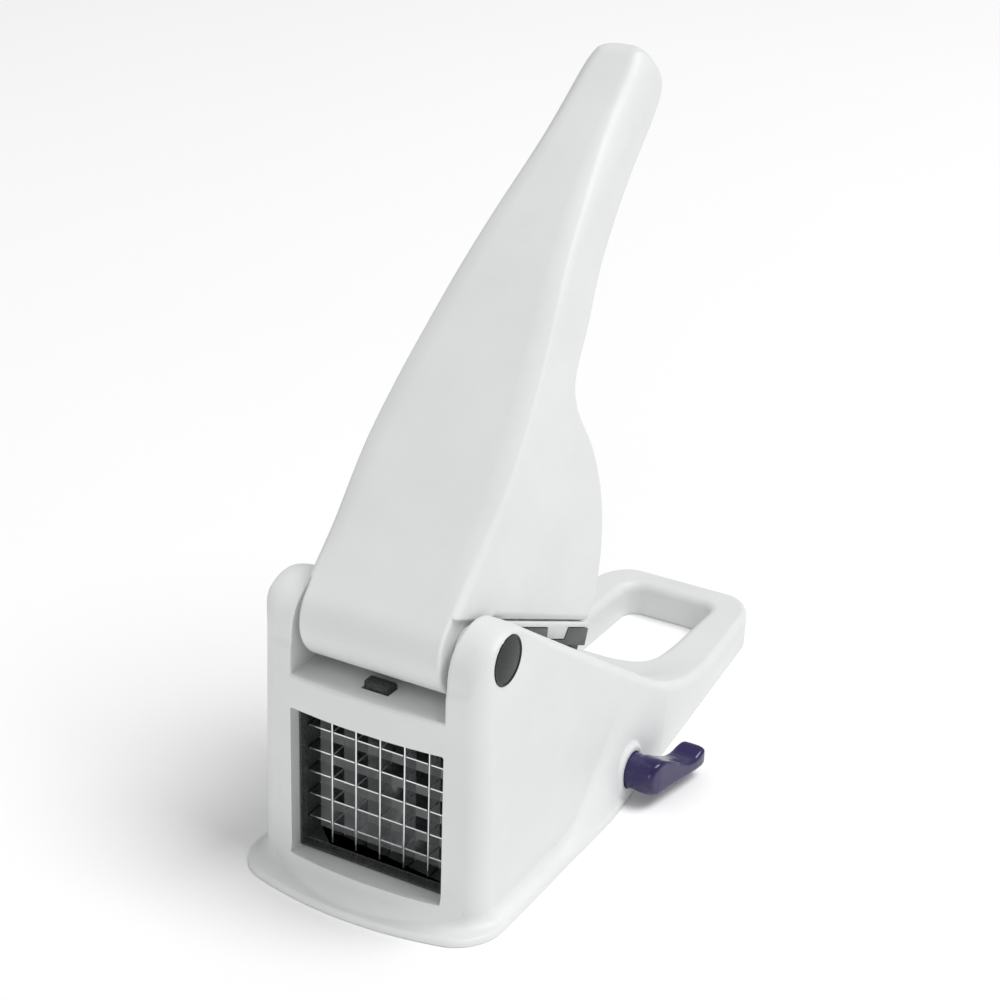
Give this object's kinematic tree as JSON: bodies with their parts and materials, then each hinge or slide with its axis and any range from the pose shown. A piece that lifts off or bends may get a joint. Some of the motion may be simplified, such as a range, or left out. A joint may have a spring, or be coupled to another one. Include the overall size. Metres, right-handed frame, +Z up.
{
  "type": "vegetable dicer",
  "caption": "Hand-lever vegetable dicer: a stand with a square blade grid in its front window, a pegged pusher on a swinging lever, a finger loop and a suction foot.",
  "frame": {"origin": "on the table, directly below the lever's hinge axis, on the centre plane", "axes": "+Z up, blades face -Y, finger loop at +Y, suction lever on the +X side"},
  "size_m": [0.1205, 0.2808, 0.2753],
  "materials": {
    "white_plastic": "moulded white plastic, satin to glossy",
    "grey_plastic": "fine-textured dark grey plastic",
    "black_plastic": "textured black plastic",
    "violet_plastic": "polished dark violet plastic",
    "nylon": "natural nylon",
    "blade_steel": "polished and ground stainless steel",
    "steel": "bright plated steel",
    "rubber": "soft grey rubber"
  },
  "bodies": {
    "stand": {"body_shell": "white_plastic", "base_plate": "white_plastic", "pivot_cap_left": "grey_plastic", "pivot_cap_right": "grey_plastic", "cassette_frame": "black_plastic", "blade_vertical_1": "blade_steel", "blade_vertical_2": "blade_steel", "blade_vertical_3": "blade_steel", "blade_vertical_4": "blade_steel", "blade_vertical_5": "blade_steel", "blade_horizontal_1": "blade_steel", "blade_horizontal_2": "blade_steel", "blade_horizontal_3": "blade_steel", "blade_horizontal_4": "blade_steel", "blade_horizontal_5": "blade_steel", "base_screw_1": "steel", "base_screw_2": "steel", "base_screw_3": "steel", "base_screw_4": "steel", "base_screw_5": "steel", "base_screw_6": "steel", "pivot_axle": "steel", "release_tab_spring": "steel", "suction_spring": "steel", "rubber_foot_front_left": "rubber", "rubber_foot_front_right": "rubber", "rubber_foot_rear_left": "rubber", "rubber_foot_rear_right": "rubber", "suction_cup": "rubber"},
    "lever": {"lever_shell": "white_plastic", "lever_back_cover": "white_plastic", "cover_screw_1": "steel", "cover_screw_2": "steel", "axle_bush_left": "nylon", "axle_bush_right": "nylon", "pusher_carrier": "white_plastic", "pusher_plate": "grey_plastic"},
    "suction_handle": {"suction_lever": "violet_plastic", "cam_shaft": "nylon", "shaft_clip": "steel"},
    "suction_stem": {"suction_yoke": "nylon"},
    "release_button": {"release_tab": "black_plastic"}
  },
  "joints": [
    {"name": "lever_hinge", "type": "hinge", "parent": "stand", "child": "lever", "pos_m": [0, 0, 0.1017], "axis": [1, 0, 0], "range_deg": [-66, 36]},
    {"name": "suction_lever_hinge", "type": "hinge", "parent": "stand", "child": "suction_handle", "pos_m": [0, 0.0935, 0.0118], "axis": [1, 0, 0], "range_deg": [0, 90]},
    {"name": "suction_stem_slide", "type": "slide", "parent": "stand", "child": "suction_stem", "axis": [0, 0, 1], "range_m": [-0.0025, 0], "deforming": ["suction_spring", "suction_cup"]},
    {"name": "release_tab_slide", "type": "slide", "parent": "stand", "child": "release_button", "axis": [0, 0, 1], "range_m": [-0.002, 0], "stiffness_N_per_m": 200, "deforming": ["release_tab_spring"]}
  ],
  "couplings": [
    {"joint": "suction_stem_slide", "follows": "suction_lever_hinge", "m_per_rad": -0.0015915}
  ]
}
